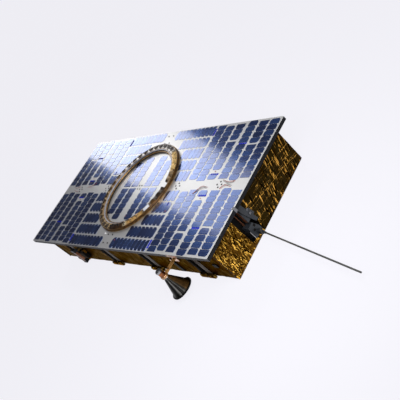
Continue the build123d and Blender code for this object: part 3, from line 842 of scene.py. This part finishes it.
# Screws on the ring's crown, an outer row between the teeth and an inner row on them.
# None stands at the notch, at the latch or beside a bolt hole
crown_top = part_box("ring_crown")[1].z / MM - 9.5
bolt_angles = [15 + 30 * number for number in range(12)]
teeth = 38
outer_row, inner_row = 343, 316
notch, latch = 0, (34, 35)
beside_bolt = 2.4
spots = []
for number in range(teeth):
    angle = math.radians(number * 360 / teeth)
    if number != notch and number not in latch:
        spots.append(((outer_row * math.cos(angle), outer_row * math.sin(angle), crown_top),
                      UP, ONE))
    degrees = (number + 0.5) * 360 / teeth
    angle = math.radians(degrees)
    away = min(abs((degrees - bolt + 180) % 360 - 180) for bolt in bolt_angles)
    if away > beside_bolt and number != latch[0]:
        spots.append(((inner_row * math.cos(angle), inner_row * math.sin(angle), crown_top),
                      UP, ONE))
grow("ring_screws", spots, dict(screw, Radius=4.4 * MM), "screw_brown", "black_coat",
     "ring_gold")

# Diode strips beside the cells
# Columns: x and y of the middle in mm, angle along the face, how many diodes, their pitch
diode_strips = [
    (742, 76.5, 0, 4, 18), (742, -76.5, 0, 4, 18), (-742, 76.5, 0, 4, 18),
    (-742, -76.5, 0, 4, 18), (845, 298, 0, 4, 18), (845, -298, 0, 4, 18),
    (-845, 298, 0, 4, 18), (-845, -298, 0, 4, 18), (497, 422, 90, 4, 15),
    (497, -422, 90, 4, 15), (-497, 422, 90, 4, 15), (-497, -422, 90, 4, 15),
    (447, -137, 90, 2, 14), (-447, 137, 90, 2, 14),
]
spots = []
for x, y, along, count, pitch in diode_strips:
    turn = math.radians(along)
    for number in range(count):
        shift = (number - (count - 1) / 2) * pitch
        spots.append(((x + shift * math.cos(turn), y + shift * math.sin(turn), face),
                      (0, 0, 1, 45 + along), ONE))
grow("diodes", spots, {"Sides": 4, "Radius": 8.8 * MM, "Taper": 0.72, "Height": 2.6 * MM,
                       "Flange": 1.15, "Recess": 0.1}, "diode_blue", "diode_blue",
     "solar_cell")

# Red marks on the face, as high as the cells
mark_height = 1.2
spots = [((x, y, face + mark_height), UP, ONE) for x, y in (
    (738, 97), (-738, -97), (738, -97), (-738, 97), (463, -190), (47, -232), (90, -415),
    (-742, 60))]
grow("red_marks", spots, {"Sides": 8, "Radius": 4.2 * MM, "Taper": 0.9, "Height": 0.8 * MM,
                          "Flange": 1.05, "Recess": 0.1}, "wire_red", "wire_red", "copper")


def lay_wire(name, points, finish):
    """A thin wire through three points in mm, which rises a little between its ends."""
    radius, clearance, rise = 1.3, 0.2, 2.5
    sides, steps = 6, 8
    path = [Vector((x, y, face + radius + clearance)) for x, y in points]
    path[1].z += rise
    middle = []
    ends = [path[0] * 2 - path[1]] + path + [path[-1] * 2 - path[-2]]
    for a, b, c, d in zip(ends, ends[1:], ends[2:], ends[3:]):
        for step in range(steps):
            t = step / steps
            middle.append((b * 2 + (c - a) * t + (a * 2 - b * 5 + c * 4 - d) * t * t
                           + (b * 3 - a - c * 3 + d) * t ** 3) / 2)
    middle.append(path[-1])
    vertices, faces = [], []
    for number, place in enumerate(middle):
        ahead = middle[min(number + 1, len(middle) - 1)] - middle[max(number - 1, 0)]
        side = ahead.cross(Vector((0, 0, 1))).normalized()
        top = side.cross(ahead).normalized()
        for corner in range(sides):
            angle = corner * math.tau / sides
            vertices.append((place + (side * math.cos(angle) + top * math.sin(angle))
                             * radius) * MM)
    for ring in range(len(middle) - 1):
        for corner in range(sides):
            after = (corner + 1) % sides
            a = ring * sides
            faces.append((a + corner, a + after, a + sides + after, a + sides + corner))
    faces.append(tuple(range(sides))[::-1])
    last = (len(middle) - 1) * sides
    faces.append(tuple(last + corner for corner in range(sides)))
    make_piece(name, vertices, faces, finish)


# Columns: name, points in mm on the face, finish
wires = [
    ("wire_a", [(855, 32), (919, 15), (965, 24)], "wire_red"),
    ("wire_b", [(858, 26), (915, 8), (958, 17)], "wire_grey"),
    ("wire_c", [(863, -31), (897, -7), (953, -18)], "wire_red"),
    ("wire_d", [(866, -24), (905, -1), (958, -10)], "wire_grey"),
    ("wire_e", [(638, -64), (691, -13), (746, -17)], "wire_red"),
    ("wire_f", [(644, -66), (697, -20), (740, -24)], "wire_grey"),
    ("wire_g", [(-958, 18), (-915, 12), (-876, 25)], "wire_red"),
    ("wire_h", [(-940, -5), (-900, -18), (-861, -23)], "wire_red"),
    ("wire_i", [(-750, 18), (-700, 22), (-645, 56)], "wire_red"),
]
for name, points, finish in wires:
    lay_wire(name, points, finish)


# Fixed trim: small blocks with eased edges
def add_block(vertices, faces, low, high, ease):
    """One box with eased edges, from two corners in mm, added to the points and faces."""
    start = len(vertices)
    shell = bmesh.new()
    bmesh.ops.create_cube(shell, size=1.0)
    middle = [(a + b) / 2 for a, b in zip(low, high)]
    size = [b - a for a, b in zip(low, high)]
    for vertex in shell.verts:
        vertex.co = Vector([m + c * s for m, c, s in zip(middle, vertex.co, size)])
    bmesh.ops.bevel(shell, geom=shell.edges[:], offset=ease, segments=2, profile=0.5,
                    affect="EDGES")
    shell.verts.index_update()
    vertices.extend(vertex.co * MM for vertex in shell.verts)
    faces.extend(tuple(start + vertex.index for vertex in face.verts) for face in shell.faces)
    shell.free()


box_side = BOX_SIDE / MM
box_end = BOX_END / MM
hinge_front = box_end + 4.0
core_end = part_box("box_core")[1].x / MM
rim_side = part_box("array_core")[0].y / MM
rim_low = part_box("array_core")[0].z / MM + 3
rim_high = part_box("array_core")[1].z / MM - 2

# Columns: name, finish, slot, corners of each block in mm, how far its edges are eased
trim = [
    # The hinge's recesses are black plates on its face: painted shade
    ("hinge_recesses", "black_coat", "black_structure", 0.15, [
        ((hinge_front - 1, -134, 88), (hinge_front + 0.4, -119, 106)),
        ((hinge_front - 1, -152, 70), (hinge_front + 0.4, -138, 84))]),
    ("hinge_strip", "light_grey", "grey_metal", 0.4, [
        ((core_end - 30, -177, 40), (box_end + 2, -172, 96))]),
    ("cradle_strip", "dark_copper", "copper", 0.4, [
        ((box_end - 22, -141, 140), (box_end - 2, -139, 270))]),
    # Light grey blocks in the cradle's slit: a painted highlight
    ("cradle_catch", "clip_grey", "grey_metal", 0.8, [
        ((box_end + 10, -101, 160), (box_end + 14, -85, 172)),
        ((box_end + 10, -96, 190), (box_end + 12, -84, 200))]),
    ("vent", "black_coat", "black_structure", 1.5, [
        ((914, box_side - 3.4, 116), (950, box_side + 3.0, 147))]),
    ("rim_label", "rose_metal", "copper", 0.2, [
        ((706, rim_side - 0.5, rim_low), (742, rim_side + 1, rim_high)),
        ((746, rim_side - 0.5, rim_low), (796, rim_side + 1, rim_high))]),
    ("arm_cap", "rose_metal", "copper", 0.6, [
        ((528, box_side - 8, 142), (542, box_side + 2, 158)),
        ((589, box_side - 80, 179.6), (609, box_side - 72, 182))]),
    ("arm_cable", "black_coat", "black_structure", 1.2, [
        ((507, box_side - 3.6, 18), (536, box_side + 3, 124))]),
    ("sensor_cover", "pink_copper", "copper", 0.5, [
        ((-680, box_side - 42.6, 38), (-650, box_side - 39, 154)),
        ((-646, box_side - 43.6, 64), (-642.4, box_side - 27, 150))]),
    ("sensor_stop", "black_coat", "black_structure", 1.0, [
        ((-686.5, box_side - 45.5, 27), (-643.5, box_side - 17, 35)),
        ((-646, box_side - 43.8, 29), (-642.6, box_side - 18.4, 58))]),
    ("drive_lugs", "grey_rail", "grey_metal", 0.8, [
        ((-626, box_side - 29.5, 66), (-620, box_side - 26, 134)),
        ((-606, box_side - 29.5, 74), (-601, box_side - 26, 130)),
        ((-590, box_side - 20, 142), (-582, box_side - 8, 148))]),
    ("drive_gold", "foil_edge", "gold_foil", 1.0, [
        ((-583, box_side - 12, 118), (-560, box_side - 2, 150)),
        ((-652, box_side - 18, 30), (-628, box_side - 2, 52))]),
]

# Each rail has a cap in its channel and a strip that laps over the next blanket
# Columns: start and end in x from the rail's +X edge, distances from the middle in y, heights
rail_parts = [(-16, -1.5, 400.5, 419.5, 20, 284), (-1.0, 40, 420.5, 423.4, 16, 282)]
rail_edges = sorted({round(solid[:, 0].max() / MM, 2)
                     for solid in islands("channel_rails_front")})
for side, word in ((-1, "front"), (1, "rear")):
    caps = []
    for edge in rail_edges:
        for start, stop, near, far, bottom, top in rail_parts:
            left, right = sorted((side * near, side * far))
            caps.append(((edge + start, left, bottom), (edge + stop, right, top)))
    trim.append(("rail_caps_" + word, "grey_rail", "grey_metal", 1.0, caps))

for name, finish, slot, ease, blocks in trim:
    vertices, faces = [], []
    for low, high in blocks:
        add_block(vertices, faces, low, high, ease)
    make_piece(name, vertices, faces, finish, smooth=False)


# Bands on the horn, turned about its axis
def turned(name, rows, finish):
    """A closed band from a table of radius and height, in mm on the horn's axis."""
    sides = 40
    vertices, faces = [], []
    for radius, height in rows:
        for side in range(sides):
            angle = side * math.tau / sides
            x = radius * math.cos(angle)
            y = radius * math.sin(angle)
            place = Vector((x * math.cos(HORN_LEAN) + height * math.sin(HORN_LEAN), y,
                            height * math.cos(HORN_LEAN) - x * math.sin(HORN_LEAN)))
            vertices.append(HORN_THROAT + place * MM)
    count = len(rows)
    for ring in range(count):
        for side in range(sides):
            after = (side + 1) % sides
            a = ring * sides
            b = (ring + 1) % count * sides
            faces.append((a + side, a + after, b + after, b + side))
    make_piece(name, vertices, faces, finish)


def band(inner, outer, low, high):
    """The outline of a band with eased corners."""
    ease = 0.6
    return [(inner, low), (outer - ease, low), (outer, low + ease), (outer, high - ease),
            (outer - ease, high), (inner, high)]


turned("horn_band_low", band(17.5, 21.5, -4.5, -1.0), "screw_bright")
turned("horn_band_collar_low", band(22.0, 24.6, 1.5, 4.5), "rose_metal")
turned("horn_band_collar_high", band(22.0, 24.6, 11.5, 14.5), "rose_metal")
turned("horn_band_feed", band(18.0, 20.4, 24.0, 27.0), "dark_copper")


# Camera, from the photograph's vanishing lines
camera = bpy.data.objects.new("camera", bpy.data.cameras.new("camera"))
bpy.context.scene.collection.objects.link(camera)
camera.data.sensor_width = 36.0
camera.data.lens = 58.02
camera.data.shift_x = -0.0605
camera.data.shift_y = -0.0508
camera.data.clip_end = 200.0
right = Vector((0.63766, 0.44726, -0.62717))
up = Vector((0.02828, 0.80004, 0.59928))
back = Vector((0.76980, -0.39988, 0.49751))
turn = Matrix((right, up, back)).transposed().to_4x4()
camera.matrix_world = Matrix.Translation((3.6758, -1.4285, 2.1288)) @ turn
bpy.context.scene.camera = camera

# Three soft lamps end to end, whose reflection is the pale glare on the cells
# Columns: name, how far along the row it stands in metres, power in watts
strip_parts = [("strip_low", -0.9, 1.35), ("strip_middle", 0.0, 1.15), ("strip_high", 0.9, 0.66)]
strip_along = (0.462, -0.018, 0.887)
strip_across = (0.342, 0.926, -0.160)
strip_middle = Vector((-3.166, 1.757, 2.124))
strip_length, strip_width, strip_spread = 0.9, 0.95, 70

# Columns: name, place, direction of its long side, direction of its short side, length and
# width in metres, power in watts, spread in degrees
lamps = [(name, strip_middle + Vector(strip_along) * shift, strip_along, strip_across,
          strip_length, strip_width, power, strip_spread)
         for name, shift, power in strip_parts]
lamps += [("fill", (4.6, -2.2, 2.6), (0.438, 0.899, 0.0), (-0.42, 0.205, 0.884),
           1.6, 1.0, 16.0, 120),
          ("near_end", (2.1, -0.4, 1.5), (0.0, 1.0, 0.0), (-0.66, 0.0, 0.75),
           1.2, 0.8, 17.0, 150),
          ("face_fill", (1.7, -0.9, 1.5), (0.5, 0.86, 0.0), (-0.6, 0.35, 0.75),
           0.8, 0.8, 5.0, 130)]
for name, place, along, across, length, width, power, spread in lamps:
    data = bpy.data.lights.new(name, "AREA")
    data.shape = "RECTANGLE"
    data.size = length
    data.size_y = width
    data.energy = power
    data.spread = math.radians(spread)
    lamp = bpy.data.objects.new(name, data)
    bpy.context.scene.collection.objects.link(lamp)
    first = Vector(along).normalized()
    out = first.cross(Vector(across)).normalized()
    axes = Matrix((first, out.cross(first), out)).transposed().to_4x4()
    lamp.matrix_world = Matrix.Translation(place) @ axes
sun = bpy.data.objects.new("key", bpy.data.lights.new("key", "SUN"))
sun.data.energy = 0.35
sun.data.angle = math.radians(6)
bpy.context.scene.collection.objects.link(sun)
sun.rotation_euler = Vector((-0.46, 0.48, 0.75)).to_track_quat("Z", "Y").to_euler()


# Floor and world, both seen in their pale colour and dim as a light
def seen(tree):
    """1 for a ray that looks at the background, from the camera or by way of gloss or glass."""
    rays = [tree.add("ShaderNodeLightPath", output=name)
            for name in ("Is Camera Ray", "Is Glossy Ray", "Is Transmission Ray")]
    return rays[0] + rays[1] + rays[2]


world = bpy.data.worlds.new("studio")
bpy.context.scene.world = world
world.use_nodes = True
sky = Tree(world.node_tree)
world.node_tree.nodes.clear()
pale = tone(241, 240, 246)
direction = sky.add("ShaderNodeTexCoord", output=0)
height = sky.add("ShaderNodeSeparateXYZ", values={0: direction}, output=2)
gradient = sky.add("ShaderNodeValToRGB", {"stops": [(0.05, pale), (0.26, tone(66, 66, 72)),
                                                    (0.37, tone(60, 60, 66)),
                                                    (0.52, tone(84, 84, 92))]},
                   {0: height})
colour = sky.add("ShaderNodeMix", {"data_type": "RGBA"},
                 {0: seen(sky), 6: tone(100, 100, 106), 7: gradient}, output=2)
background = sky.add("ShaderNodeBackground", values={"Color": colour, "Strength": 1.0})
sky.add("ShaderNodeOutputWorld", values={"Surface": background})

studio = Finish("studio_floor")
grain = studio.cloud(studio.spot(), 0.4)
colour = studio.ramp(grain, (0.0, tone(86, 86, 90)), (1.0, tone(90, 90, 94)))
matt = studio.add("ShaderNodeBsdfDiffuse", values={"Color": colour})
lift = studio.add("ShaderNodeEmission", values={"Color": pale,
                                                "Strength": seen(studio) * 0.95})
both = studio.add("ShaderNodeAddShader", values={0: matt, 1: lift})
studio.add("ShaderNodeOutputMaterial", values={"Surface": both})
floor_mesh = bpy.data.meshes.new("floor")
half_floor = 40.0
corners = [(x * half_floor, y * half_floor, 0) for x, y in ((-1, -1), (1, -1), (1, 1), (-1, 1))]
floor_mesh.from_pydata(corners, [], [(0, 1, 2, 3)])
floor_mesh.materials.append(studio.material)
floor = bpy.data.objects.new("floor", floor_mesh)
bpy.context.scene.collection.objects.link(floor)

bpy.context.scene.view_settings.view_transform = "Standard"
